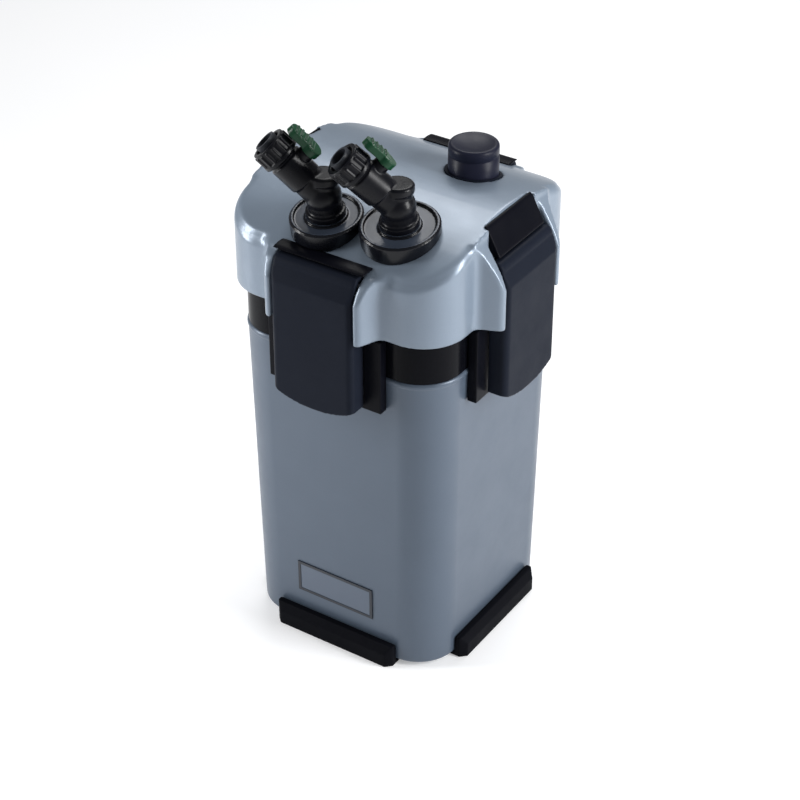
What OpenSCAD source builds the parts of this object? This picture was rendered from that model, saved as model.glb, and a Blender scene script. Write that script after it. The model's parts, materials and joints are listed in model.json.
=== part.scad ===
// Canister filter for an aquarium, with a lift-off head held by four clips.
// The front face looks along -Y, the floor is z = 0, all sizes are in mm.

/* [Canister] */
// Half width of the canister at its rim
can_top_half = 96.5; // [96:0.5:97]
// Half width of the canister at its floor
can_bottom_half = 92.5; // [91:0.5:95]
// Corner radius of the canister
can_corner = 36; // [30:1:38]
// Wall thickness of the canister
can_wall = 3.2; // [2.4:0.2:3.4]
// Height of the canister's rim
rim_z = 283; // [282:0.5:283]

/* [Head] */
// Half width of the head's skirt
head_half = 102; // [101.5:0.5:102]
// Corner radius of the head's skirt
head_corner = 37; // [32:1:40]
// Height of the crown of the head
crown_z = 400; // [399:0.5:401]
// Radius of the head's curved top
vault_r = 206; // [200:2:214]
// Height of the skirt's lower edge
skirt_z = 319; // [318.5:0.5:320]

/* [Clips] */
// Half width of a clip
clip_half = 37.2; // [34:0.2:37.2]
// Distance of a clip's face from the middle of the filter
clip_face = 122.2; // [121:0.2:124]
// Height of a clip's lowest point
clip_bottom = 249; // [240:1:252]

/* [Connectors and button] */
// Radius of the outlet connector's disc
disc_r = 31; // [28:0.2:31]
// Radius of the inlet connector's disc
inlet_disc_r = 28.6; // [26:0.2:28.6]
// Length of a connector's sloping tube
tube_len = 58; // [56:1:62]
// Radius of the priming button
button_r = 20; // [18:0.5:21]
// Travel of the priming button
button_travel = 10; // [6:0.5:10]

/* [Baskets] */
// Height of one basket
basket_h = 80.5; // [76:0.5:80.5]
// Number of media balls along each side of the ball bed
balls_per_side = 5; // [3:1:5]

/* [Hidden] */
$fn = 64;
eps = 0.01;
fit = 0.08;
gap = 0.3;

// Canister
can_z = 3;
floor_t = 3.2;
pad_half = 52;
pad_face = 105;
pad_z = 254;
tongue_back = 96.8;
tongue_top = 318.3;
lip_half = 28;
lip_face = 109;
lip_z = 312;
foot_half = 58;
foot_face = 103;
foot_h = 20;
foot_seat = 80;
plate_x = -2;
plate_z = 52;
plate_w = 74;
plate_h = 30;

// Head
cover_t = 3.5;
collar_half = 96;
collar_corner = 35;
collar_t = 4;
collar_top = 326;
spigot_half = 89.7;
spigot_corner = 30;
spigot_z = 268;
deck_z = 286;
deck_t = 4;
deck_low = rim_z + gap;
seal_z = 274;
seal_h = 5;
post_xy = 70;
post_r = 6;
gland_x = 63.6;
gland_z = 342;
cheek_gap = 0.6;
cheek_face = clip_face - 0.6;
shoulder_z = 372.6;
shoulder = [[117.2, 363], [113, 368.4], [108, 371.4], [102.2, shoulder_z]];
crest_z = 390;

// Clips
pin_v = 110;
pin_z = 366;
pin_r = 2;
pin_half = 42;
barrel_r = 7;
slope_low = 354;
slope_mid = [117.8, 364];
slope_top = [113.5, 372];
cap_z = 374.6;
cap_v = 111.3;
cap_inner = 97;
cap_rise = 2.2;
hook_tip = 105.6;
hook_z = 306;
hook_top = 311.6;

// Pump
pump_x = 20;
pump_y = 15;
well_r = 12.2;
well_wall = 1.6;
well_top = 336;
motor_r = 27;
motor_top = 342;
magnet_r = 11;
shaft_r = 2;
shaft_z = 265;
shaft_top = 332;
volute_r = 26;
volute_z = 262;
vane_r = 20;
vane_count = 6;

// Priming button
button_x = 42;
button_y = 41;
button_low = 384;
button_top = 421;
barrel_floor = 346;
piston_z = 370;

// Connectors
inlet_x = -16;
inlet_y = -74;
outlet_x = 43;
outlet_y = -63;
disc_tilt = 10;
disc_h = 9;
neck_r = 12.6;
stub_len = 26;
tube_r = 12.4;
bore_r = 7;
elbow_bore_r = 7.8;
tube_rise = 45;
inlet_turn = 27;
outlet_turn = 40;
nut_low = 43;
nut_r = 15.4;
nut_ribs = 16;
lever_at = 33;
boss_r = 6.5;
boss_top = 18;
back_stub = 19;
tail_r = 8.8;
socket_at = 30;
duct_r = 9.5;
riser_r = 11;
riser_wall = 1.6;
riser_low = 12;

// Baskets
basket_half = 86;
basket_front = 58;
basket_corner = 26;
basket_z = 10;
basket_wall = 2;

function vault_z(y) = crown_z - vault_r + sqrt(vault_r * vault_r - y * y);
function can_half(z) =
    can_bottom_half + (can_top_half - can_bottom_half) * (z - can_z) / (rim_z - can_z);

// Corner points of a square with rounded corners, in order round its edge
function round_square(half, r, z, n = 8) = [
    for (k = [0:3], i = [0:n])
        let (c = 45 + 90 * k, a = 90 * k + 90 * i / n)
            [(half - r) * sign(cos(c)) + r * cos(a), (half - r) * sign(sin(c)) + r * sin(a), z]
];

// Rounded square block that widens evenly from its floor to its top
module drafted_block(half0, z0, half1, z1, r) {
    low = round_square(half0, r, z0);
    high = round_square(half1, r, z1);
    n = len(low);
    polyhedron(
        points = concat(low, high),
        faces = concat(
            [[for (i = [0:n - 1]) i]],
            [[for (i = [n - 1:-1:0]) n + i]],
            [for (i = [0:n - 1]) [i, n + i, n + (i + 1) % n, (i + 1) % n]]
        )
    );
}

module rounded_square(half, r) {
    square([2 * half, 2 * (half - r)], center = true);
    square([2 * (half - r), 2 * half], center = true);
    for (sx = [-1, 1], sy = [-1, 1]) translate([sx * (half - r), sy * (half - r)]) circle(r);
}

module round_block(half, r, z0, z1) {
    translate([0, 0, z0]) linear_extrude(z1 - z0) rounded_square(half, r);
}

// Turns a shape made for the front face (-Y) to another side: 0 front, 1 right, 2 back, 3 left
module on_side(side) {
    rotate([0, 0, 90 * side]) children();
}

// Prism with a side outline given as [distance from the middle, height], centred on x = 0
module side_prism(points, half) {
    rotate([90, 0, -90]) linear_extrude(2 * half, center = true) polygon(points);
}

// Cylinder along X at a distance from the middle and a height, on the front face
module cross_rod(v, z, r, half) {
    translate([0, -v, z]) rotate([0, 90, 0]) cylinder(r = r, h = 2 * half, center = true);
}

module vault(extra = 0) {
    translate([0, 0, crown_z - vault_r]) rotate([0, 90, 0])
        cylinder(r = vault_r + extra, h = 3 * head_half, center = true, $fn = 180);
}

// ---- Canister ----
module canister() {
    color([0.43, 0.48, 0.54]) difference() {
        drafted_block(can_bottom_half, can_z, can_top_half, rim_z, can_corner);
        drafted_block(
            can_bottom_half - can_wall, can_z + floor_t,
            can_top_half - can_wall, rim_z + eps, can_corner - can_wall
        );
    }
}

// Black plate on the top of one face, with the lip that the clip's hook holds
module clip_keeper(side) {
    color([0.07, 0.07, 0.08]) on_side(side) {
        side_prism([
            [pad_face, pad_z], [pad_face, tongue_top], [tongue_back, tongue_top],
            [tongue_back, rim_z], [can_half(pad_z) + 0.1, pad_z]
        ], pad_half);
        side_prism([
            [lip_face, lip_z], [lip_face, tongue_top], [pad_face - 1, tongue_top],
            [pad_face - 1, lip_z]
        ], lip_half);
    }
}

// Foot along the lower edge of one face, with a seat under the floor
module foot(side) {
    color([0.08, 0.08, 0.09]) on_side(side) intersection() {
        side_prism([
            [foot_seat, 0], [foot_face, 0], [foot_face, foot_h - 7], [foot_face - 4, foot_h],
            [can_half(foot_h) + gap, foot_h], [can_bottom_half + gap, can_z - 0.1],
            [foot_seat, can_z - 0.1]
        ], foot_half);
        linear_extrude(foot_h) polygon([
            [-foot_half, -foot_seat], [-foot_half, -foot_face + 5], [-foot_half + 5, -foot_face],
            [foot_half - 5, -foot_face], [foot_half, -foot_face + 5], [foot_half, -foot_seat]
        ]);
    }
}

// Blank framed badge on the lower front of the canister
module name_plate() {
    lean = atan((can_top_half - can_bottom_half) / (rim_z - can_z));
    color([0.2, 0.22, 0.25])
        translate([plate_x, -can_half(plate_z) - 0.05, plate_z]) rotate([90 + lean, 0, 0])
            difference() {
                linear_extrude(1) square([plate_w, plate_h], center = true);
                translate([0, 0, 0.6]) linear_extrude(1)
                    square([plate_w - 5, plate_h - 5], center = true);
            }
}

module riser_pipe() {
    color([0.12, 0.12, 0.13]) translate([inlet_x, inlet_y, riser_low]) difference() {
        cylinder(r = riser_r, h = deck_z - 4 - riser_low);
        translate([0, 0, -eps]) cylinder(r = riser_r - riser_wall, h = deck_z);
    }
}

// Slotted foot of the riser pipe
module riser_strainer() {
    color([0.12, 0.12, 0.13]) translate([inlet_x, inlet_y, can_z + floor_t + gap])
        difference() {
            cylinder(r = riser_r + 2, h = riser_low + 6 - can_z - floor_t - gap);
            translate([0, 0, -eps]) cylinder(r = riser_r - riser_wall, h = 30);
            translate([0, 0, riser_low - can_z - floor_t - gap])
                cylinder(r = riser_r + fit, h = 30);
            for (a = [0:45:135]) rotate([0, 0, a]) translate([0, 0, 2])
                cube([40, 3, 5], center = true);
        }
}

// ---- Head ----
module seal_ring() {
    color([0.1, 0.1, 0.1]) difference() {
        round_block(spigot_half + 2.9, spigot_corner + 2.9, seal_z, seal_z + seal_h);
        round_block(spigot_half - 1.5, spigot_corner - 1.5, seal_z - 1, seal_z + seal_h + 1);
    }
}

module duct_hole(x, y, r) {
    translate([x, y, spigot_z - 10]) cylinder(r = r, h = 60);
}

module head_base() {
    color([0.06, 0.06, 0.07]) difference() {
        union() {
            difference() {
                round_block(collar_half, collar_corner, deck_low, collar_top);
                round_block(
                    collar_half - collar_t, collar_corner - collar_t,
                    deck_z + deck_t, collar_top + 1
                );
            }
            difference() {
                round_block(spigot_half, spigot_corner, spigot_z, deck_z);
                round_block(spigot_half - 3.5, spigot_corner - 3.5, spigot_z - 1, deck_z);
            }
            translate([inlet_x, inlet_y, spigot_z]) cylinder(r = riser_r + 1.9, h = 20);
            translate([pump_x, pump_y, deck_z]) cylinder(r = well_r + well_wall, h = well_top - deck_z);
        }
        difference() {
            round_block(spigot_half + 4, spigot_corner + 4, seal_z - 0.1, seal_z + seal_h + 0.1);
            round_block(
                spigot_half - 1.6, spigot_corner - 1.6, seal_z - 1, seal_z + seal_h + 1
            );
        }
        translate([inlet_x, inlet_y, spigot_z - 1]) cylinder(r = riser_r + 0.4, h = 17);
        duct_hole(inlet_x, inlet_y, duct_r + fit);
        duct_hole(outlet_x, outlet_y, duct_r + fit);
        translate([pump_x, pump_y, spigot_z]) cylinder(r = well_r, h = well_top - 2 - spigot_z);
        for (sx = [-1, 1], sy = [-1, 1]) translate([sx * post_xy, sy * post_xy, deck_low - 1])
            cylinder(r = 2.2, h = 10);
    }
}

// Side outline of a cheek: low round shoulders at front and back, tall ones at the sides
function cheek_outline(side) = concat(
    [[head_half - 2, skirt_z], [cheek_face, skirt_z], [cheek_face, slope_low]],
    side % 2 == 0
        ? concat(shoulder, [[head_half - 2, shoulder_z]])
        : [slope_mid, slope_top, [head_half + 0.4, crest_z], [head_half - 2, crest_z]]
);

// The two grey cheeks that stand either side of a clip
module cheeks(side) {
    inner_u = clip_half + cheek_gap;
    on_side(side) difference() {
        intersection() {
            side_prism(cheek_outline(side), 70);
            translate([0, 0, skirt_z]) linear_extrude(100) for (s = [-1, 1]) scale([s, 1])
                polygon([
                    [inner_u, -head_half + 2], [inner_u, -cheek_face], [inner_u + 2.5, -cheek_face],
                    [inner_u + 5, -cheek_face + 1.2], [inner_u + 6.5, -cheek_face + 3.5],
                    [inner_u + 11.5, -head_half - 3.5], [inner_u + 14, -head_half - 1],
                    [inner_u + 17.5, -head_half + eps], [inner_u + 17.5, -head_half + 2]
                ]);
        }
        cross_rod(pin_v, pin_z, pin_r + fit / 2, pin_half + 0.2);
    }
}

module cover_hole(x, y, r) {
    translate([x, y, vault_z(y)]) rotate([disc_tilt, 0, 0]) cylinder(r = r, h = 40, center = true);
}

module head_cover() {
    color([0.52, 0.56, 0.61]) difference() {
        union() {
            intersection() {
                difference() {
                    round_block(head_half, head_corner, skirt_z, crown_z + 1);
                    intersection() {
                        round_block(
                            head_half - cover_t, head_corner - cover_t, skirt_z - 1, crown_z + 1
                        );
                        vault(-cover_t);
                    }
                }
                vault();
            }
            for (side = [0:3]) cheeks(side);
            intersection() {
                for (sx = [-1, 1], sy = [-1, 1]) translate([sx * post_xy, sy * post_xy, 0])
                    translate([0, 0, deck_z + deck_t]) cylinder(r = post_r, h = 110);
                vault(-1);
            }
        }
        for (sx = [-1, 1], sy = [-1, 1]) translate([sx * post_xy, sy * post_xy, deck_z])
            cylinder(r = 1.7, h = 40);
        for (side = [0:3]) on_side(side)
            translate([-cap_half(side) - 0.1, -cap_v - 5, cap_z - 0.05])
                cube([2 * cap_half(side) + 0.2, cap_v + 5 - cap_inner + 0.1, 60]);
        translate([button_x, button_y, crown_z - 30]) cylinder(r = button_r + 2.8, h = 60);
        cover_hole(inlet_x, inlet_y, neck_r + 0.2);
        cover_hole(outlet_x, outlet_y, neck_r + 0.2);
        translate([gland_x, head_half, gland_z]) rotate([90, 0, 0])
            cylinder(r = 6, h = 20, center = true);
    }
}

// Half width of the fixed cap above each clip: low and wide at front and back, tall at the sides
function cap_half(side) = side % 2 == 0 ? 41 : 33;

module clip_cap(side) {
    on_side(side) color([0.07, 0.07, 0.08])
        if (side % 2 == 0) {
            side_prism([
                [cap_inner, cap_z], [cap_v, cap_z], [cap_v - 0.6, cap_z + 0.9],
                [cap_v - 4, cap_z + 1.9], [cap_inner + 5, cap_z + cap_rise],
                [cap_inner, cap_z + 1.9]
            ], cap_half(side));
        } else {
            side_prism([
                [cap_inner, cap_z], [cap_v, cap_z], [cap_v - 0.4, cap_z + 2],
                [cap_inner + 3.2, crown_z - 3.4], [cap_inner + 1.5, crown_z - 1.8],
                [cap_inner, crown_z - 1.6]
            ], cap_half(side));
        }
}

module clip_pin(side) {
    on_side(side) color([0.7, 0.71, 0.73]) cross_rod(pin_v, pin_z, pin_r, pin_half);
}

// Outline of a clip seen from the front, with a round lower edge
module clip_front_outline() {
    sag = 8;
    edge_r = (clip_half * clip_half + sag * sag) / (2 * sag);
    intersection() {
        translate([-clip_half - 1, clip_bottom - 1]) square([2 * clip_half + 2, 140]);
        union() {
            translate([0, clip_bottom + edge_r]) circle(edge_r, $fn = 120);
            translate([-clip_half - 2, clip_bottom + 30]) square([2 * clip_half + 4, 110]);
        }
    }
}

module clip_plan_outline(inset) {
    r = 5 - inset;
    w = clip_half - inset;
    face = clip_face - inset;
    translate([-w, -face + r]) square([2 * w, face - r - 100]);
    translate([-w + r, -face]) square([2 * (w - r), r + 1]);
    for (s = [-1, 1]) translate([s * (w - r), -face + r]) circle(r);
}

module clip(side) {
    on_side(side) color([0.09, 0.1, 0.12]) difference() {
        union() {
            intersection() {
                difference() {
                    side_prism([
                        [106, clip_bottom], [clip_face, clip_bottom], [clip_face, slope_low],
                        slope_mid, slope_top, [pin_v, pin_z], [106, slope_low]
                    ], clip_half + 1);
                    translate([0, 0, clip_bottom - 1]) linear_extrude(slope_low - 4 - clip_bottom)
                        clip_plan_outline(2.6);
                }
                translate([0, 0, clip_bottom - 1]) linear_extrude(140) clip_plan_outline(0);
                rotate([90, 0, 0]) linear_extrude(140) clip_front_outline();
            }
            cross_rod(pin_v, pin_z, barrel_r, clip_half - 0.5);
            translate([-22, -clip_face + 1, hook_z])
                cube([44, clip_face - 1 - hook_tip, hook_top - hook_z]);
        }
        cross_rod(pin_v, pin_z, pin_r + fit, clip_half + 1);
    }
}

// ---- Pump ----
module at_pump() {
    translate([pump_x, pump_y, 0]) children();
}

module motor_pot() {
    color([0.16, 0.17, 0.2]) at_pump() translate([0, 0, deck_z + deck_t + 0.1]) difference() {
        union() {
            cylinder(r = motor_r, h = motor_top - deck_z - deck_t);
            translate([-motor_r - 6, -12, 0]) cube([2 * motor_r + 12, 24, 20]);
        }
        translate([0, 0, -eps]) cylinder(r = well_r + well_wall + 0.1, h = well_top - deck_z - deck_t + 1);
    }
}

module rotor_shaft() {
    color([0.9, 0.9, 0.88]) at_pump() translate([0, 0, shaft_z])
        cylinder(r = shaft_r, h = shaft_top - shaft_z);
}

module rotor_magnet() {
    color([0.25, 0.25, 0.27]) at_pump() difference() {
        translate([0, 0, 292]) cylinder(r = magnet_r, h = 34);
        translate([0, 0, 280]) cylinder(r = shaft_r + fit, h = 60);
    }
}

// Hub and straight vanes of the impeller, fixed under the magnet
module impeller() {
    color([0.85, 0.86, 0.88]) at_pump() difference() {
        union() {
            translate([0, 0, 270]) cylinder(r = 5, h = 22);
            translate([0, 0, 280]) cylinder(r = 10, h = 2);
            for (k = [0:vane_count - 1]) rotate([0, 0, 360 * k / vane_count])
                translate([3, -0.8, 270]) cube([vane_r - 3, 1.6, 10.5]);
        }
        translate([0, 0, 260]) cylinder(r = shaft_r + fit, h = 60);
    }
}

module bush(z, h, r) {
    color([0.1, 0.1, 0.1]) at_pump() translate([0, 0, z]) difference() {
        cylinder(r = r, h = h);
        translate([0, 0, -eps]) cylinder(r = shaft_r + fit / 2, h = h + 1);
    }
}

module bush_upper() {
    bush(327, 6.9, well_r - fit);
}

module bush_lower() {
    bush(264.6, 4.6, 5);
}

module volute_plan(inset) {
    translate([pump_x, pump_y]) circle(volute_r - inset);
    translate([outlet_x, outlet_y]) circle(13 - inset);
    angle = atan2(outlet_y - pump_y, outlet_x - pump_x);
    run = sqrt(pow(outlet_y - pump_y, 2) + pow(outlet_x - pump_x, 2));
    translate([pump_x, pump_y]) rotate(angle) translate([0, -9 + inset])
        square([run, 18 - 2 * inset]);
}

module volute_cover() {
    color([0.14, 0.14, 0.16]) difference() {
        translate([0, 0, volute_z]) linear_extrude(deck_low - 0.1 - volute_z) volute_plan(0);
        translate([0, 0, volute_z + 2.5]) linear_extrude(30) volute_plan(2);
        at_pump() for (a = [0:60:300]) rotate([0, 0, a]) translate([10, 0, volute_z - 1])
            cylinder(r = 3.2, h = 10);
    }
}

module duct(x, y) {
    color([0.14, 0.14, 0.16]) difference() {
        translate([x, y, deck_z + 0.1])
            cylinder(r = duct_r, h = vault_z(y) - 13.6 - deck_z);
        translate([x, y, deck_z - 1]) cylinder(r = duct_r - 1.8, h = 120);
    }
}

// ---- Priming button ----
module at_button() {
    translate([button_x, button_y, 0]) children();
}

module prime_button() {
    edge = 2.5;
    dish = 60;
    color([0.1, 0.1, 0.12]) at_button() difference() {
        union() {
            translate([0, 0, button_low]) cylinder(r = button_r, h = button_top - edge - button_low);
            translate([0, 0, button_top - edge]) cylinder(r = button_r - edge, h = edge);
            translate([0, 0, button_top - edge]) rotate_extrude()
                translate([button_r - edge, 0]) intersection() {
                    circle(edge, $fn = 40);
                    square(edge);
                }
        }
        translate([0, 0, button_low - 1]) cylinder(r = button_r - 2.5, h = button_top - 4 - button_low);
        translate([0, 0, button_top - 0.8 + dish]) sphere(dish, $fn = 96);
    }
}

module prime_piston() {
    color([0.2, 0.2, 0.22]) at_button() {
        translate([0, 0, piston_z]) cylinder(r = button_r - 0.6, h = 4);
        translate([0, 0, piston_z]) cylinder(r = 4, h = button_top - 5.1 - piston_z);
    }
}

// Wire spring under the piston: one eight-sided tube swept round a helix
module prime_spring() {
    turns = 5;
    steps = 18;
    wire = 0.9;
    coil_r = 14;
    low = barrel_floor + 2.5 + wire + 0.1;
    rise = piston_z - 0.2 - wire - low;
    sides = 8;
    n = turns * steps;
    pts = [for (i = [0:n], j = [0:sides - 1])
        let (a = 360 * i / steps, b = 360 * j / sides, rr = coil_r + wire * cos(b))
            [rr * cos(a), rr * sin(a), low + rise * i / n + wire * sin(b)]];
    color([0.75, 0.76, 0.78]) at_button() polyhedron(
        points = pts,
        faces = concat(
            [[for (j = [sides - 1:-1:0]) j]],
            [[for (j = [0:sides - 1]) n * sides + j]],
            [for (i = [0:n - 1], j = [0:sides - 1])
                let (k = (j + 1) % sides)
                    [i * sides + j, i * sides + k, (i + 1) * sides + k]],
            [for (i = [0:n - 1], j = [0:sides - 1])
                let (k = (j + 1) % sides)
                    [i * sides + j, (i + 1) * sides + k, (i + 1) * sides + j]]
        )
    );
}

module button_collar() {
    color([0.06, 0.06, 0.07]) intersection() {
        at_button() difference() {
            translate([0, 0, barrel_floor]) cylinder(r = button_r + 2.6, h = 60);
            translate([0, 0, barrel_floor + 2.5]) cylinder(r = button_r + 0.3, h = 60);
            translate([0, 0, barrel_floor - 1]) cylinder(r = 3, h = 10);
        }
        vault(0.4);
    }
}

module cord_gland() {
    color([0.06, 0.06, 0.07]) translate([gland_x, head_half + 1.6, gland_z]) rotate([90, 0, 0])
        difference() {
            union() {
                cylinder(r = 7.5, h = 1.5);
                cylinder(r = 5.9, h = 12);
            }
            translate([0, 0, -1]) cylinder(r = 3.2, h = 20);
        }
}

// ---- Hose connectors ----
module at_disc(x, y) {
    translate([x, y, vault_z(y)]) rotate([disc_tilt, 0, 0]) children();
}

// Frame of the sloping tube: its axis is local Z, and the lever stands off along local X
module at_tube(x, y, turn) {
    translate([x, y - stub_len * sin(disc_tilt), vault_z(y) + stub_len * cos(disc_tilt)])
        rotate([0, -tube_rise, turn]) children();
}

// Round turret with a raised rim, its underside fitted to the curved head
module disc(x, y, r) {
    color([0.08, 0.08, 0.1]) difference() {
        union() {
            difference() {
                at_disc(x, y) union() {
                    translate([0, 0, -r / 2]) cylinder(r = r, h = r / 2 + disc_h - 1);
                    cylinder(r = r - 1, h = disc_h);
                }
                vault(gap);
                translate([-head_half, -2 * head_half, 0])
                    cube([2 * head_half, 2 * head_half - cap_inner + gap, cap_z + cap_rise + gap]);
            }
            at_disc(x, y) translate([0, 0, -9]) cylinder(r = neck_r, h = 12);
        }
        at_disc(x, y) translate([0, 0, disc_h - 2]) difference() {
            cylinder(r = r - 3.5, h = 4);
            translate([0, 0, -1]) cylinder(r = tube_r + 4, h = 6);
        }
        at_disc(x, y) translate([0, 0, -10]) cylinder(r = bore_r, h = 30);
    }
}

// Elbow with a valve boss on the sloping tube and a closed service stub behind the bend
module elbow(x, y, turn) {
    stub_h = stub_len - disc_h;
    color([0.05, 0.05, 0.06]) difference() {
        union() {
            at_disc(x, y) translate([0, 0, disc_h + 0.1]) {
                cylinder(r = tube_r + 0.6, h = stub_h);
                cylinder(r = tube_r + 3, h = 5);
            }
            at_disc(x, y) translate([0, 0, stub_len]) sphere(tube_r + 1.5);
            at_tube(x, y, turn) {
                cylinder(r = tube_r, h = nut_low - 0.6);
                translate([0, 0, 18]) cylinder(r = tube_r + 1.3, h = 22);
                translate([0, 0, lever_at]) rotate([0, 90, 0]) cylinder(r = boss_r, h = boss_top);
                rotate([0, 90 - tube_rise, 0]) {
                    cylinder(r = tube_r - 1, h = back_stub);
                    translate([0, 0, back_stub - 7]) cylinder(r = tube_r + 0.4, h = 6);
                }
            }
        }
        at_disc(x, y) translate([0, 0, disc_h - 1]) cylinder(r = elbow_bore_r, h = stub_h + 1);
        at_disc(x, y) translate([0, 0, stub_len]) sphere(elbow_bore_r + 0.6);
        at_tube(x, y, turn) {
            cylinder(r = elbow_bore_r, h = socket_at + 1);
            translate([0, 0, socket_at]) cylinder(r = tail_r + fit / 2, h = 30);
        }
    }
}

// Tube that the hose pushes on to, let into the end of the elbow
module hose_tail(x, y, turn) {
    color([0.07, 0.07, 0.08]) at_tube(x, y, turn) translate([0, 0, socket_at + 0.1]) difference() {
        cylinder(r = tail_r, h = tube_len + 3 - socket_at);
        translate([0, 0, -1]) cylinder(r = bore_r, h = tube_len);
    }
}

module hose_nut(x, y, turn) {
    long = tube_len - nut_low;
    color([0.06, 0.06, 0.07]) at_tube(x, y, turn) translate([0, 0, nut_low]) difference() {
        union() {
            cylinder(r = nut_r - 1.2, h = long);
            cylinder(r = nut_r, h = 3);
            for (k = [0:nut_ribs - 1]) rotate([0, 0, 360 * k / nut_ribs])
                translate([nut_r - 1.4, 0, 0]) cylinder(r = 1.3, h = long - 2);
        }
        translate([0, 0, -1]) cylinder(r = tail_r + fit, h = long + 5);
        translate([0, 0, long - 5]) cylinder(r = tail_r + 2.2, h = 10);
    }
}

// Green paddle of the shut-off valve, along the tube when the valve is open
module valve_lever(x, y, turn) {
    color([0.05, 0.32, 0.16])
        at_tube(x, y, turn) translate([boss_top + 0.2, 0, lever_at]) {
            rotate([0, 90, 0]) cylinder(r = 8, h = 6);
            translate([1, -6, 0]) cube([6, 12, 17]);
            translate([1, 0, 17]) rotate([0, 90, 0]) cylinder(r = 6, h = 6);
            for (k = [0:3]) translate([7, -5, 3 + 4.5 * k]) cube([1.2, 10, 1.8]);
        }
}

// ---- Baskets and media ----
module basket_plan(inset) {
    r = basket_corner - inset;
    w = basket_half - inset;
    front = -basket_front + inset;
    back = basket_half - inset;
    translate([-w, front + r]) square([2 * w, back - front - 2 * r]);
    translate([-w + r, front]) square([2 * (w - r), back - front]);
    for (s = [-1, 1], y = [front + r, back - r]) translate([s * (w - r), y]) circle(r);
}

function basket_low(k) = basket_z + k * (basket_h + 1);

module basket(k) {
    low = basket_low(k);
    color([0.17, 0.18, 0.2]) {
        difference() {
            translate([0, 0, low]) linear_extrude(basket_h) basket_plan(0);
            translate([0, 0, low + 2.5]) linear_extrude(basket_h) basket_plan(basket_wall);
            for (i = [-6:6], y = [-22, 14, 50]) translate([11.5 * i, y, low])
                cube([6, 28, 12], center = true);
        }
        for (s = [-1, 1]) translate([s * (basket_half - 9), 0, low + basket_h - 12])
            cube([14.2, 40, 3], center = true);
        if (k == 0) for (s = [-1, 1], y = [-40, 66]) translate([s * 62, y, low - 3.4])
            cylinder(r = 6, h = 3.5);
    }
}

module foam_pad() {
    low = basket_low(0) + 2.7;
    color([0.18, 0.36, 0.62]) for (k = [0, 1])
        translate([0, 0, low + 26 * k]) linear_extrude(25) basket_plan(basket_wall + 0.8);
}

module ceramic_ring(x, y, z) {
    translate([x, y, z]) difference() {
        cylinder(r = 9, h = 17, $fn = 24);
        translate([0, 0, -1]) cylinder(r = 4.5, h = 20, $fn = 24);
    }
}

module ceramic_rings() {
    low = basket_low(1) + 2.7;
    pitch = 18.5;
    color([0.86, 0.84, 0.8]) for (layer = [0, 1], i = [-4:4 - layer], j = [0:6 - layer])
        if (abs(i) < 4 || (j > 0 && j < 6 - layer))
            ceramic_ring(pitch * (i + layer / 2), pitch * (j + layer / 2) - 43, low + 17.2 * layer);
}

module media_balls() {
    low = basket_low(2) + 2.7;
    step = 31;
    mid = (balls_per_side - 1) / 2;
    color([0.12, 0.13, 0.15])
        for (i = [0:balls_per_side - 1], j = [0:3]) if (abs(i - mid) < 2 || (j > 0 && j < 3))
            translate([step * (i - mid), step * (j - 1.5) + 14, low + 15]) difference() {
                sphere(14.5, $fn = 32);
                for (a = [0, 60, 120]) rotate([0, 0, a]) {
                    translate([0, 0, 11]) cube([40, 3, 10], center = true);
                    translate([0, 0, -11]) cube([40, 3, 10], center = true);
                }
            }
}

module floss_pad() {
    color([0.93, 0.93, 0.9]) translate([0, 0, basket_low(2) + 33.5]) linear_extrude(28)
        basket_plan(basket_wall + 0.8);
}

module head_screws() {
    color([0.75, 0.76, 0.78]) for (sx = [-1, 1], sy = [-1, 1])
        translate([sx * post_xy, sy * post_xy, deck_low - 3.1]) {
            cylinder(r = 3.6, h = 3);
            cylinder(r = 1.6, h = 22);
        }
}

canister();
foot(0);  // foot_front
foot(1);  // foot_right
foot(2);  // foot_back
foot(3);  // foot_left
name_plate();
riser_pipe();
riser_strainer();
seal_ring();
head_base();
head_cover();
clip(0);  // clip_front
clip(1);  // clip_right
clip(2);  // clip_back
clip(3);  // clip_left
clip_pin(0);  // clip_pin_front
clip_pin(1);  // clip_pin_right
clip_pin(2);  // clip_pin_back
clip_pin(3);  // clip_pin_left
clip_keeper(0);  // clip_keeper_front
clip_keeper(1);  // clip_keeper_right
clip_keeper(2);  // clip_keeper_back
clip_keeper(3);  // clip_keeper_left
clip_cap(0);  // clip_cap_front
clip_cap(1);  // clip_cap_right
clip_cap(2);  // clip_cap_back
clip_cap(3);  // clip_cap_left
motor_pot();
rotor_shaft();
rotor_magnet();
impeller();
bush_upper();
bush_lower();
volute_cover();
duct(inlet_x, inlet_y);  // inlet_duct
duct(outlet_x, outlet_y);  // outlet_duct
prime_button();
prime_piston();
prime_spring();
button_collar();
cord_gland();
disc(inlet_x, inlet_y, inlet_disc_r);  // disc_inlet
disc(outlet_x, outlet_y, disc_r);  // disc_outlet
elbow(inlet_x, inlet_y, inlet_turn);  // elbow_inlet
elbow(outlet_x, outlet_y, outlet_turn);  // elbow_outlet
hose_tail(inlet_x, inlet_y, inlet_turn);  // hose_tail_inlet
hose_tail(outlet_x, outlet_y, outlet_turn);  // hose_tail_outlet
hose_nut(inlet_x, inlet_y, inlet_turn);  // hose_nut_inlet
hose_nut(outlet_x, outlet_y, outlet_turn);  // hose_nut_outlet
valve_lever(inlet_x, inlet_y, inlet_turn);  // valve_lever_inlet
valve_lever(outlet_x, outlet_y, outlet_turn);  // valve_lever_outlet
basket(0);  // basket_bottom
basket(1);  // basket_middle
basket(2);  // basket_top
foam_pad();
ceramic_rings();
media_balls();
floss_pad();
head_screws();
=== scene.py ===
"""Visual model of the canister filter, in metres: finishes, rounded shapes, a pale floor and soft light."""
import json
import math

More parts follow.
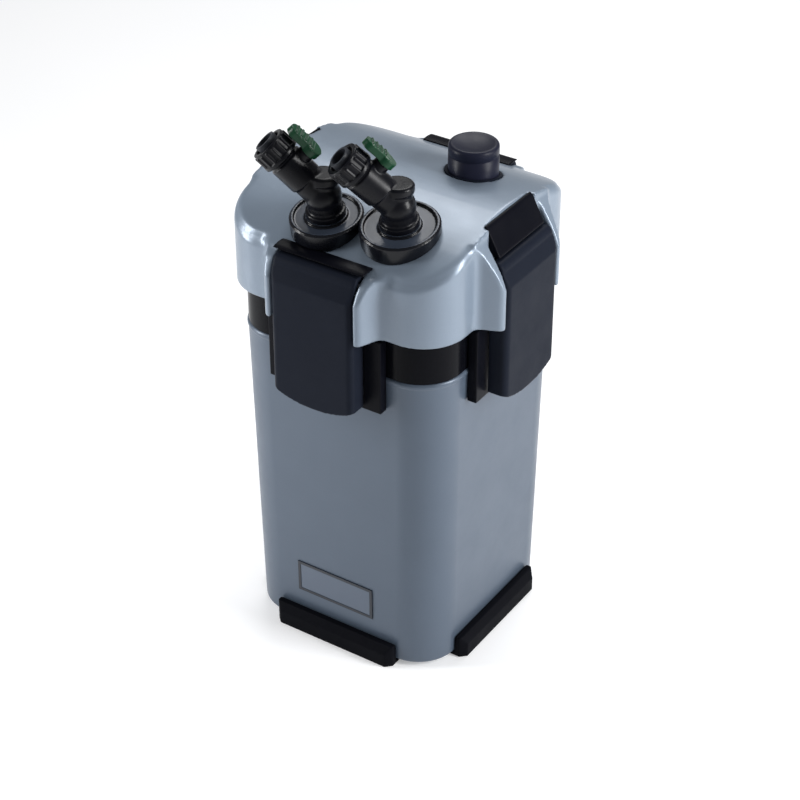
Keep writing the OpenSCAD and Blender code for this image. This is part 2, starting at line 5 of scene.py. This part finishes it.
import bmesh
import bpy
import numpy as np
from mathutils import Matrix, Vector

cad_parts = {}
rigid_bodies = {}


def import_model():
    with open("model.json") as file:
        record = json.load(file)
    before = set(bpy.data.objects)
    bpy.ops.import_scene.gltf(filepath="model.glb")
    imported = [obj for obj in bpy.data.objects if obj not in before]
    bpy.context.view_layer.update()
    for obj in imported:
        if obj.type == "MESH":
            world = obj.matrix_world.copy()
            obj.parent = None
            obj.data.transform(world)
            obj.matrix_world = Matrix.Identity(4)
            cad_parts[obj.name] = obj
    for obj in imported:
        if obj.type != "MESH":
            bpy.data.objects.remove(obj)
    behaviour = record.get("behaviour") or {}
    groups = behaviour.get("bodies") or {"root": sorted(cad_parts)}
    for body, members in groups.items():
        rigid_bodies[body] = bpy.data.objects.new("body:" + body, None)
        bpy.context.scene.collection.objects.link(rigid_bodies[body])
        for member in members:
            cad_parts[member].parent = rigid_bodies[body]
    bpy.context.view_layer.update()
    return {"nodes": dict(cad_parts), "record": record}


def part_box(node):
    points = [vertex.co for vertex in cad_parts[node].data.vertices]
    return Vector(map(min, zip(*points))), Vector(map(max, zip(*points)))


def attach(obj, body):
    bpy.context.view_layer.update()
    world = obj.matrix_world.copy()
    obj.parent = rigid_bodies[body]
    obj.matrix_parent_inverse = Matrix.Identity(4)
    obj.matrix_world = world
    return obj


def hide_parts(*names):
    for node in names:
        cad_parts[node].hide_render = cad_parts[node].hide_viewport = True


for old in list(bpy.data.objects):
    bpy.data.objects.remove(old)

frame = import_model()
NODES = frame["nodes"]
SLOT_OF = {part["node"]: part["material_slot"] for part in frame["record"]["subparts"]}
SIDES = ("front", "right", "back", "left")
ENDS = ("inlet", "outlet")
WELD = 1e-6     # vertices nearer than this are one
TINY = 1e-9     # keeps a division away from zero


# ---------------------------------------------------------------- camera
CAMERA_AZIMUTH = math.radians(33.3)
CAMERA_ELEVATION = math.radians(33.9)
CAMERA_DISTANCE = 1.8155
CAMERA_LENS_MM = 99.0
CAMERA_SENSOR_MM = 36
AIM_HEIGHT = 0.184
AIM_SHIFT_RIGHT = 0.000644
AIM_SHIFT_UP = 0.00451


def add_camera():
    """The main view, from the right of the front and above."""
    right = Vector((math.cos(CAMERA_AZIMUTH), math.sin(CAMERA_AZIMUTH), 0))
    up = Vector((-math.sin(CAMERA_AZIMUTH) * math.sin(CAMERA_ELEVATION),
                 math.cos(CAMERA_AZIMUTH) * math.sin(CAMERA_ELEVATION),
                 math.cos(CAMERA_ELEVATION)))
    back = right.cross(up)
    aim = Vector((0, 0, AIM_HEIGHT)) + right * AIM_SHIFT_RIGHT + up * AIM_SHIFT_UP
    camera = bpy.data.objects.new("view_camera", bpy.data.cameras.new("view_camera"))
    bpy.context.scene.collection.objects.link(camera)
    camera.data.sensor_width = CAMERA_SENSOR_MM
    camera.data.lens = CAMERA_LENS_MM
    camera.data.clip_end = 50
    turn = Matrix((right, up, back)).transposed().to_4x4()
    camera.matrix_world = Matrix.Translation(aim + back * CAMERA_DISTANCE) @ turn
    bpy.context.scene.camera = camera


add_camera()
bpy.context.scene.view_settings.view_transform = "Standard"


# ---------------------------------------------------------------- material helpers
def lin(rgb):
    """A linear colour from sRGB values of 0 to 255."""
    return tuple((c / 255 / 12.92) if c / 255 <= 0.04045 else ((c / 255 + 0.055) / 1.055) ** 2.4
                 for c in rgb) + (1.0,)


def shade(rgb, k):
    """The linear colour of these sRGB values, k times as bright."""
    return tuple(min(1.0, v * k) for v in lin(rgb)[:3]) + (1.0,)


class Tree:
    """A few short names for building a material's nodes."""

    def __init__(self, name, rough, metallic=0.0, coat=0.0, spec=0.5):
        self.mat = bpy.data.materials.new(name)
        self.mat.use_nodes = True
        self.t = self.mat.node_tree
        self.p = self.t.nodes["Principled BSDF"]
        self.p.inputs["Roughness"].default_value = rough
        self.p.inputs["Metallic"].default_value = metallic
        self.p.inputs["Coat Weight"].default_value = coat
        self.p.inputs["Coat Roughness"].default_value = 0.1
        self.p.inputs["Specular IOR Level"].default_value = spec
        self.place = self.t.nodes.new("ShaderNodeTexCoord")
        self.co = self.place.outputs["Object"]

    def link(self, a, b):
        self.t.links.new(a, b)

    def noise(self, scale, detail=3, rough=0.5, stretch=None, distort=0.0):
        n = self.t.nodes.new("ShaderNodeTexNoise")
        n.inputs["Scale"].default_value = scale
        n.inputs["Detail"].default_value = detail
        n.inputs["Roughness"].default_value = rough
        n.inputs["Distortion"].default_value = distort
        src = self.co
        if stretch:
            m = self.t.nodes.new("ShaderNodeMapping")
            m.inputs["Scale"].default_value = stretch
            self.link(self.co, m.inputs["Vector"])
            src = m.outputs["Vector"]
        self.link(src, n.inputs["Vector"])
        return n.outputs["Fac"]

    def cells(self, scale):
        n = self.t.nodes.new("ShaderNodeTexVoronoi")
        n.inputs["Scale"].default_value = scale
        self.link(self.co, n.inputs["Vector"])
        return n.outputs["Distance"]

    def math(self, op, a, b=0.0):
        n = self.t.nodes.new("ShaderNodeMath")
        n.operation = op
        for i, v in enumerate((a, b)):
            if isinstance(v, (int, float)):
                n.inputs[i].default_value = v
            else:
                self.link(v, n.inputs[i])
        return n.outputs[0]

    def span(self, v, lo, hi, out_lo=0.0, out_hi=1.0):
        """v's range lo to hi, mapped to out_lo to out_hi and held at the ends."""
        n = self.t.nodes.new("ShaderNodeMapRange")
        for i, x in zip((1, 2, 3, 4), (lo, hi, out_lo, out_hi)):
            n.inputs[i].default_value = x
        self.link(v, n.inputs[0])
        return n.outputs[0]

    def xyz(self, vector):
        n = self.t.nodes.new("ShaderNodeSeparateXYZ")
        self.link(vector, n.inputs[0])
        return n.outputs

    def mix(self, fac, a, b):
        n = self.t.nodes.new("ShaderNodeMix")
        n.data_type = "RGBA"
        self.link(fac, n.inputs["Factor"])
        for key, v in (("A", a), ("B", b)):
            sock = [s for s in n.inputs if s.name == key and s.type == "RGBA"][0]
            if isinstance(v, tuple):
                sock.default_value = v
            else:
                self.link(v, sock)
        return [s for s in n.outputs if s.type == "RGBA"][0]

    def colour(self, v):
        self.link(v, self.p.inputs["Base Color"])

    def roughness(self, v):
        self.link(v, self.p.inputs["Roughness"])

    def bump(self, heights, strength):
        """Several (height, distance) pairs, one over the other."""
        last = None
        for h, d in heights:
            b = self.t.nodes.new("ShaderNodeBump")
            b.inputs["Strength"].default_value = strength
            b.inputs["Distance"].default_value = d
            self.link(h, b.inputs["Height"])
            if last:
                self.link(last, b.inputs["Normal"])
            last = b.outputs["Normal"]
        self.link(last, self.p.inputs["Normal"])


# ---------------------------------------------------------------- materials
def moulded(name, rgb, rough, grain, depth, vary, coat=0.0, metallic=0.0, rough_span=0.08, flake=0.0,
            spec=0.5):
    """Moulded plastic or paint: cloudy tone, fine surface grain, uneven gloss and faint scuffs."""
    m = Tree(name, rough, metallic, coat, spec)
    tone = m.noise(22, 4, 0.55)
    base = m.mix(tone, shade(rgb, 1 - vary), shade(rgb, 1 + vary))
    scuff = m.span(m.noise(60, 6, 0.7, stretch=(1.0, 1.0, 3.5)), 0.62, 0.78)
    base = m.mix(m.math("MULTIPLY", scuff, 0.18), base, shade(rgb, 1.5))
    if flake:
        spark = m.span(m.cells(2600), 0.0, 0.5, 1.0, 0.0)
        base = m.mix(m.math("MULTIPLY", spark, flake), base, shade(rgb, 1.7))
    m.colour(base)
    m.roughness(m.span(m.noise(35, 5, 0.6), 0.3, 0.7, rough - rough_span, rough + rough_span))
    m.bump([(m.noise(grain, 2, 0.5), depth), (m.noise(90, 2, 0.5), depth * 1.5)], 0.25)
    return m


def turret():
    """Glossy black plastic whose level top faces are coloured grey as a painted reflection."""
    black = (12, 14, 20)
    m = moulded("turret_plastic", black, rough=0.24, grain=900, depth=0.00004, vary=0.15,
                rough_span=0.05, spec=0.3)
    # painted reflection: the level top faces are coloured grey, as the glossy black tops look when they
    # reflect the room
    painted_reflection_mask = m.span(m.xyz(m.place.outputs["Normal"])[2], 0.93, 0.97)
    painted_top_reflection = m.mix(m.noise(45, 4, 0.6), lin((52, 59, 71)), lin((64, 72, 85)))
    m.colour(m.mix(painted_reflection_mask, lin(black), painted_top_reflection))
    return m


def steel():
    m = Tree("brushed_steel", 0.32, 1.0)
    line = m.noise(180, 4, 0.6, stretch=(1.0, 1.0, 14.0))
    m.colour(m.mix(line, lin((150, 152, 156)), lin((196, 198, 202))))
    m.roughness(m.span(line, 0.3, 0.7, 0.24, 0.42))
    m.bump([(line, 0.00006)], 0.3)
    return m


def badge():
    """Blank badge: a dark frame round a panel in the canister's own paint."""
    rim_width = 0.0026
    rim_fade = 0.0002
    lo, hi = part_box("name_plate")
    m = Tree("badge", 0.36, 0.2, 0.2)
    x, _, z = m.xyz(m.co)
    from_mid_x = m.math("ABSOLUTE", m.math("SUBTRACT", x, (lo.x + hi.x) / 2))
    from_mid_z = m.math("ABSOLUTE", m.math("SUBTRACT", z, (lo.z + hi.z) / 2))
    into_rim_x = m.math("SUBTRACT", from_mid_x, (hi.x - lo.x) / 2 - rim_width)
    into_rim_z = m.math("SUBTRACT", from_mid_z, (hi.z - lo.z) / 2 - rim_width)
    rim = m.span(m.math("MAXIMUM", into_rim_x, into_rim_z), -rim_fade, rim_fade)
    cloud = m.noise(40, 4, 0.6)
    panel = m.mix(cloud, lin((80, 91, 107)), lin((87, 99, 115)))
    dark = m.mix(cloud, lin((26, 31, 40)), lin((33, 39, 49)))
    m.colour(m.mix(rim, panel, dark))
    m.roughness(m.span(cloud, 0.3, 0.7, 0.3, 0.44))
    m.bump([(m.noise(1300, 2, 0.5), 0.00006)], 0.25)
    return m


def ceramic():
    m = Tree("porous_ceramic", 0.9)
    grain = m.noise(260, 6, 0.7)
    m.colour(m.mix(grain, lin((206, 194, 176)), lin((240, 234, 222))))
    m.roughness(m.span(grain, 0.3, 0.7, 0.8, 0.98))
    m.bump([(m.cells(900), 0.0004), (grain, 0.0006)], 0.5)
    return m


def foam():
    m = Tree("open_cell_foam", 0.95, spec=0.15)
    cell = m.cells(520)
    # painted shade: the pits of the cells, the pores, are coloured dark blue and the cell walls lighter
    m.colour(m.mix(m.span(cell, 0.15, 0.55), lin((12, 34, 78)), lin((52, 104, 176))))
    m.roughness(m.span(m.noise(120, 4), 0.3, 0.7, 0.88, 1.0))
    m.bump([(cell, 0.0012), (m.noise(1500, 3, 0.6), 0.0004)], 0.7)
    return m


def floss():
    m = Tree("fibre_floss", 0.95, spec=0.15)
    hair = m.noise(380, 8, 0.75, stretch=(0.35, 1.6, 3.0), distort=2.5)
    clump = m.noise(70, 5, 0.6)
    m.colour(m.mix(m.math("MULTIPLY", hair, clump), lin((208, 208, 202)), lin((250, 250, 247))))
    m.roughness(m.span(clump, 0.3, 0.7, 0.88, 1.0))
    m.bump([(hair, 0.0016), (clump, 0.0025)], 0.6)
    return m


PAINT = {"grain": 1500, "depth": 0.00005, "vary": 0.05, "rough_span": 0.05, "flake": 0.2}
CLIP = {"grain": 1300, "depth": 0.00010, "vary": 0.15, "rough_span": 0.07}
FINISHES = {
    "canister_grey": moulded("canister_paint", (80, 92, 107), rough=0.38, coat=0.05, metallic=0.2,
                             **PAINT),
    "head_grey": moulded("head_paint", (122, 135, 150), rough=0.34, coat=0.2, metallic=0.25, **PAINT),
    "black_satin": moulded("clip_plastic", (26, 30, 40), rough=0.42, spec=0.04, **CLIP),
    "cap_satin": moulded("cap_plastic", (10, 11, 18), rough=0.34, spec=0.06, **CLIP),
    "connector_black": moulded("connector_plastic", (10, 11, 17), rough=0.3, grain=1000,
                               depth=0.00012, vary=0.2, spec=0.2),
    "black_gloss": moulded("gloss_plastic", (9, 10, 15), rough=0.2, grain=900, depth=0.00004,
                           vary=0.15, rough_span=0.05, spec=0.06),
    "button_plastic": moulded("button_plastic", (28, 30, 45), rough=0.36, grain=1100, depth=0.00006,
                              vary=0.12, spec=0.15),
    "turret_top": turret(),
    "rubber_black": moulded("foot_rubber", (12, 13, 18), rough=0.6, grain=700, depth=0.00016,
                            vary=0.18, spec=0.04),
    "motor_resin": moulded("motor_resin", (30, 32, 38), rough=0.55, grain=500, depth=0.0002, vary=0.2),
    "impeller_white": moulded("impeller_plastic", (205, 207, 212), rough=0.35, grain=900,
                              depth=0.0001, vary=0.05),
    "green_plastic": moulded("lever_green", (10, 58, 34), rough=0.32, grain=900, depth=0.00008,
                             vary=0.15, spec=0.3),
    "basket_black": moulded("basket_plastic", (40, 43, 50), rough=0.5, grain=900, depth=0.00012,
                            vary=0.15, spec=0.35),
    "ball_black": moulded("ball_plastic", (36, 39, 45), rough=0.55, grain=700, depth=0.00015,
                          vary=0.2, spec=0.35),
    "ferrite": moulded("ferrite", (48, 47, 50), rough=0.6, grain=600, depth=0.00015, vary=0.25),
    "shaft_ceramic": moulded("shaft_ceramic", (214, 212, 206), rough=0.25, coat=0.1, grain=1500,
                             depth=0.00005, vary=0.04),
    "steel": steel(),
    "plate_dark": badge(),
    "ceramic_white": ceramic(),
    "foam_blue": foam(),
    "floss_white": floss(),
}


def dress_nodes():
    """Every CAD node gets the finish of its slot."""
    for name, obj in NODES.items():
        material = FINISHES[SLOT_OF[name]].mat
        if obj.material_slots:
            for slot in obj.material_slots:
                slot.material = material
        else:
            obj.data.materials.append(material)


dress_nodes()


# ---------------------------------------------------------------- mesh helpers
def link(name, mesh, body, finish):
    """A new piece that rides on a body."""
    obj = bpy.data.objects.new(name, mesh)
    bpy.context.scene.collection.objects.link(obj)
    mesh.materials.clear()
    mesh.materials.append(FINISHES[finish].mat)
    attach(obj, body)
    return obj


def mesh_of(bm, name):
    mesh = bpy.data.meshes.new(name)
    bm.to_mesh(mesh)
    bm.free()
    return mesh


def welded_copy(node):
    """A copy of a CAD node's mesh with its vertices joined, for reshaping."""
    bm = bmesh.new()
    bm.from_mesh(NODES[node].data)
    bmesh.ops.remove_doubles(bm, verts=bm.verts, dist=WELD)
    return mesh_of(bm, node + "_soft")


def evaluated(mesh, kind, **settings):
    """The mesh after one modifier."""
    holder = bpy.data.objects.new("holder", mesh)
    bpy.context.scene.collection.objects.link(holder)
    modifier = holder.modifiers.new(kind, kind)
    for key, value in settings.items():
        setattr(modifier, key, value)
    deps = bpy.context.evaluated_depsgraph_get()
    out = bpy.data.meshes.new_from_object(holder.evaluated_get(deps))
    bpy.data.objects.remove(holder)
    return out


def remeshed(mesh, voxel):
    return evaluated(mesh, "REMESH", mode="VOXEL", voxel_size=voxel, adaptivity=0.0)


def relaxed(mesh, rounds):
    return evaluated(mesh, "SMOOTH", factor=0.5, iterations=rounds)


def smooth(mesh):
    mesh.polygons.foreach_set("use_smooth", np.full(len(mesh.polygons), True))
    mesh.update()
    return mesh


def coords(mesh):
    co = np.empty(len(mesh.vertices) * 3)
    mesh.vertices.foreach_get("co", co)
    return co.reshape(-1, 3)


def set_coords(mesh, co):
    mesh.vertices.foreach_set("co", co.ravel())
    mesh.update()


def quarter_turn(steps):
    """Angles from 0 to 90 degrees."""
    return [math.radians(90 * i / steps) for i in range(steps + 1)]


def softened(node, voxel, rounds, body, finish, name=None):
    """A piece for a CAD node with every edge rounded as moulded plastic is."""
    mesh = smooth(relaxed(remeshed(welded_copy(node), voxel), rounds))
    obj = link(name or node + "_body", mesh, body, finish)
    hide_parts(node)


def lathe(name, profile, centre, steps=96):
    """Surface of revolution about a vertical axis; profile is (radius, height) from the axis out."""
    bm = bmesh.new()
    rings = []
    for r, z in profile:
        turns = [2 * math.pi * k / steps for k in range(steps)] if r > 0 else [0.0]
        rings.append([bm.verts.new((centre[0] + r * math.cos(a), centre[1] + r * math.sin(a), z))
                      for a in turns])
    for a, b in zip(rings, rings[1:]):
        for k in range(steps):
            quad = [a[k % len(a)], a[(k + 1) % len(a)], b[(k + 1) % len(b)], b[k % len(b)]]
            corners = list(dict.fromkeys(quad))
            if len(corners) > 2:
                bm.faces.new(corners)
    bmesh.ops.recalc_face_normals(bm, faces=bm.faces)
    return smooth(mesh_of(bm, name))


# ---------------------------------------------------------------- canister
CAN_BASE = 0.003                # height of its underside, on the feet
CAN_RIM = 0.283                 # height of its rim
CAN_HALF = 0.0925               # half its width at the base
CAN_DRAFT = 0.004               # how far each wall leans out from base to rim
CAN_CORNER = 0.036              # corner radius
CAN_WALL = 0.0032
WALL_LOW, WALL_HIGH = 0.008, 0.2775         # heights between which the outside is plain
INSIDE_LOW, INSIDE_HIGH = 0.0090, 0.2815    # the same for the inside
INSIDE_FLOOR = 0.006            # the floor inside is as wide as the canister is here
FOOT_EDGE = 0.0035              # radius of the lower outer edge
INSIDE_EDGE = 0.0028            # radius where the inner wall meets the floor
RIM_BEAD = ((-0.0045, 0.0005), (-0.0035, 0.0008), (-0.0020, 0.0008), (-0.0008, 0.0003),
            (-0.0001, -0.0006), (0.0, -0.0016), (-0.0001, -0.0027))     # (above the rim, out of the wall)


def can_half(z):
    """Half the canister's width at height z."""
    return CAN_HALF + CAN_DRAFT * (z - CAN_BASE) / (CAN_RIM - CAN_BASE)


def rounded_square(half, corner, steps=20):
    points = []
    for k, (sx, sy) in enumerate(((1, 1), (-1, 1), (-1, -1), (1, -1))):
        for a in quarter_turn(steps):
            turn = math.radians(90 * k) + a
            points.append(((half - corner) * sx + corner * math.cos(turn),
                           (half - corner) * sy + corner * math.sin(turn)))
    return points


def canister_rings():
    """Rings from the underside up the outside, over the rim and down the inside."""
    rings = []

    def ring(z, out, width_at=None):
        half = can_half(z if width_at is None else width_at)
        rings.append([(x, y, z) for x, y in rounded_square(half + out, CAN_CORNER + out)])

    for a in quarter_turn(8):
        ring(CAN_BASE + FOOT_EDGE * (1 - math.cos(a)), FOOT_EDGE * (math.sin(a) - 1), CAN_BASE)
    for z in np.linspace(WALL_LOW, WALL_HIGH, 26):
        ring(z, 0.0)
    for rise, out in RIM_BEAD:
        ring(CAN_RIM + rise, out)
    for z in np.linspace(INSIDE_HIGH, INSIDE_LOW, 16):
        ring(z, -CAN_WALL)
    for a in quarter_turn(6):
        ring(INSIDE_LOW - INSIDE_EDGE * math.sin(a), -CAN_WALL - INSIDE_EDGE * (1 - math.cos(a)),
             INSIDE_FLOOR)
    return rings


def canister_shell():
    """Drafted shell with a round foot edge, a rolled rim bead and an inner wall."""
    bm = bmesh.new()
    rings = [[bm.verts.new(point) for point in ring] for ring in canister_rings()]
    count = len(rings[0])
    for a, b in zip(rings, rings[1:]):
        for k in range(count):
            bm.faces.new((a[k], a[(k + 1) % count], b[(k + 1) % count], b[k]))
    bm.faces.new(list(reversed(rings[0])))
    bm.faces.new(rings[-1])
    bmesh.ops.remove_doubles(bm, verts=bm.verts, dist=WELD)
    bmesh.ops.recalc_face_normals(bm, faces=bm.faces)
    mesh = smooth(mesh_of(bm, "canister_shell"))
    obj = link("canister_shell", mesh, "canister", "canister_grey")
    obj.modifiers.new("normals", "WEIGHTED_NORMAL").keep_sharp = True
    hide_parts("canister")


# ---------------------------------------------------------------- head
HEAD_HALF = 0.102               # half the cover's width
HEAD_CORNER = 0.037             # its corner radius
CROWN_TOP = 0.400               # the top is part of a cylinder that lies along X
CROWN_RADIUS = 0.206
CREST_FILLET = 0.0075           # radius between the walls and the crown
CHEEK_EDGE = 0.053              # the cheeks end here, and the fillet comes in over CHEEK_BLEND
CHEEK_BLEND = 0.006
SKIN = 0.0012                   # vertices this near the surface belong to the outer skin


def crest_offsets(co):
    """What to take from each outer vertex near a corner's crest to put it on the fillet."""
    beyond = np.abs(co[:, :2]) - (HEAD_HALF - HEAD_CORNER)
    corner = np.maximum(beyond, 0)
    reach = np.maximum(np.linalg.norm(corner, axis=1), TINY)
    wall_gap = reach + np.minimum(np.maximum(beyond[:, 0], beyond[:, 1]), 0) - HEAD_CORNER
    wall_normal = np.zeros_like(co)
    wall_normal[:, :2] = corner / reach[:, None] * np.sign(co[:, :2])

    rise = co[:, 2] - (CROWN_TOP - CROWN_RADIUS)
    radius = np.hypot(co[:, 1], rise)
    crown_gap = radius - CROWN_RADIUS
    crown_normal = np.zeros_like(co)
    crown_normal[:, 1] = co[:, 1] / radius
    crown_normal[:, 2] = rise / radius

    a = np.maximum(wall_gap + CREST_FILLET, 0)
    b = np.maximum(crown_gap + CREST_FILLET, 0)
    h = np.maximum(np.hypot(a, b), TINY)
    proud = h - CREST_FILLET
    normal = (a[:, None] * wall_normal + b[:, None] * crown_normal) / h[:, None]
    from_middle = np.minimum(np.abs(co[:, 0]), np.abs(co[:, 1]))
    weight = np.clip((from_middle - CHEEK_EDGE) / CHEEK_BLEND, 0, 1)
    skin = np.abs(np.maximum(wall_gap, crown_gap)) < SKIN
    pulled = skin & (a > 0) & (b > 0) & (proud > 0)
    return (weight * np.where(pulled, proud, 0))[:, None] * normal


def head_shell():
    """The cover with rounded crest, cheeks and edges, made from the CAD shape."""
    mesh = remeshed(welded_copy("head_cover"), 0.0013)
    co = coords(mesh)
    for _ in range(2):
        co -= crest_offsets(co)
    set_coords(mesh, co)
    obj = link("head_shell", smooth(relaxed(mesh, 5)), "head", "head_grey")
    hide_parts("head_cover")


def button_cap():
    """Priming button: a dished top with a rolled edge, a groove round it and a hollow underside."""
    dish, dish_lip = 0.0022, 0.0003     # depth of the dish, and of its lip, below the top
    dish_inset, dish_steps = 0.004, 14
    edge = 0.0028
    groove_top, groove_bottom, groove_slope, groove = 0.008, 0.010, 0.0005, 0.0006
    wall, top_thickness = 0.0025, 0.0052
    lo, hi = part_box("prime_button")
    radius = (hi.x - lo.x) / 2
    profile = [(0, hi.z - dish)]
    for i in range(1, dish_steps + 1):
        t = i / dish_steps
        profile.append(((radius - dish_inset) * t, hi.z - dish + (dish - dish_lip) * t ** 2.4))
    for a in quarter_turn(8):
        profile.append((radius - edge + edge * math.sin(a), hi.z - edge + edge * math.cos(a)))
    profile += [(radius, hi.z - groove_top), (radius - groove, hi.z - groove_top - groove_slope),
                (radius - groove, hi.z - groove_bottom + groove_slope), (radius, hi.z - groove_bottom),
                (radius, lo.z + groove), (radius - groove, lo.z), (radius - wall, lo.z),
                (radius - wall, hi.z - top_thickness), (0, hi.z - top_thickness)]
    mesh = lathe("button_cap", profile, ((lo.x + hi.x) / 2, (lo.y + hi.y) / 2))
    obj = link("button_cap", mesh, "button", "button_plastic")
    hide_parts("prime_button")


canister_shell()
for side in SIDES:
    softened("clip_keeper_" + side, 0.0010, 3, "canister", "cap_satin")
head_shell()
for side in SIDES:
    softened("clip_" + side, 0.0010, 4, "clip_" + side, "black_satin", "clip_panel_" + side)
    softened("clip_cap_" + side, 0.0007, 3, "head", "cap_satin")
    softened("foot_" + side, 0.0010, 5, "canister", "rubber_black")
for end in ENDS:
    softened("disc_" + end, 0.0005, 4, "head", "turret_top")
    softened("elbow_" + end, 0.0007, 4, "head", "connector_black")
    softened("hose_nut_" + end, 0.0005, 2, "nut_" + end, "connector_black")
    softened("valve_lever_" + end, 0.0005, 4, "lever_" + end, "green_plastic")
softened("cord_gland", 0.0005, 2, "head", "rubber_black")
button_cap()


# ---------------------------------------------------------------- soft media
def soft_pad(node, body, finish, swell, seed):
    """Foam or floss: rounded, slightly crowned and uneven, inside its CAD solid."""
    mesh = relaxed(remeshed(welded_copy(node), 0.0030), 6)
    co = coords(mesh)
    wave = (np.sin(co[:, 0] * 131 + seed) * np.sin(co[:, 1] * 117 + 2 * seed)
            + 0.5 * np.sin(co[:, 0] * 277 + co[:, 1] * 203 + seed))
    lo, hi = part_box(node)
    above = co[:, 2] > (lo.z + hi.z) / 2
    co[:, 2] += np.where(above, -1, 0.3) * swell * (0.6 + 0.4 * wave)
    co[:, :2] *= 1 - 0.0025 * (1 + wave[:, None] * 0.5)
    set_coords(mesh, co)
    obj = link(node + "_piece", smooth(mesh), body, finish)
    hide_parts(node)


soft_pad("foam_pad", "basket_bottom", "foam_blue", swell=0.0006, seed=1.0)
soft_pad("floss_pad", "basket_top", "floss_white", swell=0.0016, seed=2.0)


# ---------------------------------------------------------------- stage and light
FLOOR_HALF = 12
FLOOR_GAP = 0.0005              # the floor lies this far below the feet
FLOOR_GLOW = 0.32
WORLD_COLOUR = (0.95, 0.97, 1.0, 1)
WORLD_STRENGTH = 0.22


def pale_floor():
    m = Tree("pale_floor", 0.85, spec=0.2)
    m.p.inputs["Emission Color"].default_value = (1, 1, 1, 1)
    m.p.inputs["Emission Strength"].default_value = FLOOR_GLOW
    m.colour(m.mix(m.noise(2.5, 3), (0.74, 0.75, 0.76, 1), (0.78, 0.78, 0.79, 1)))
    bm = bmesh.new()
    bmesh.ops.create_grid(bm, x_segments=1, y_segments=1, size=FLOOR_HALF)
    mesh = mesh_of(bm, "floor")
    mesh.materials.append(m.mat)
    obj = bpy.data.objects.new("floor", mesh)
    obj.location.z = -FLOOR_GAP
    bpy.context.scene.collection.objects.link(obj)


def studio_world():
    world = bpy.data.worlds.new("studio")
    bpy.context.scene.world = world
    world.use_nodes = True
    background = world.node_tree.nodes["Background"]
    background.inputs["Color"].default_value = WORLD_COLOUR
    background.inputs["Strength"].default_value = WORLD_STRENGTH


def softbox(name, place, aim_height, size, power):
    """A soft rectangular light, in watts, aimed at a height on the object's middle line."""
    light = bpy.data.lights.new(name, "AREA")
    light.shape = "RECTANGLE"
    light.size, light.size_y = size
    light.energy = power
    obj = bpy.data.objects.new(name, light)
    bpy.context.scene.collection.objects.link(obj)
    obj.location = Vector(place)
    obj.visible_camera = False
    towards = Vector((0, 0, aim_height)) - Vector(place)
    obj.rotation_euler = towards.to_track_quat("-Z", "Y").to_euler()


pale_floor()
studio_world()
softbox("key_right", (1.30, 0.20, 0.80), 0.25, (0.4, 1.0), 22)
softbox("fill_left", (-0.60, -0.50, 0.45), 0.20, (0.2, 0.6), 5)
softbox("top_back", (-0.4, 1.3, 2.1), 0.30, (1.6, 1.2), 32)
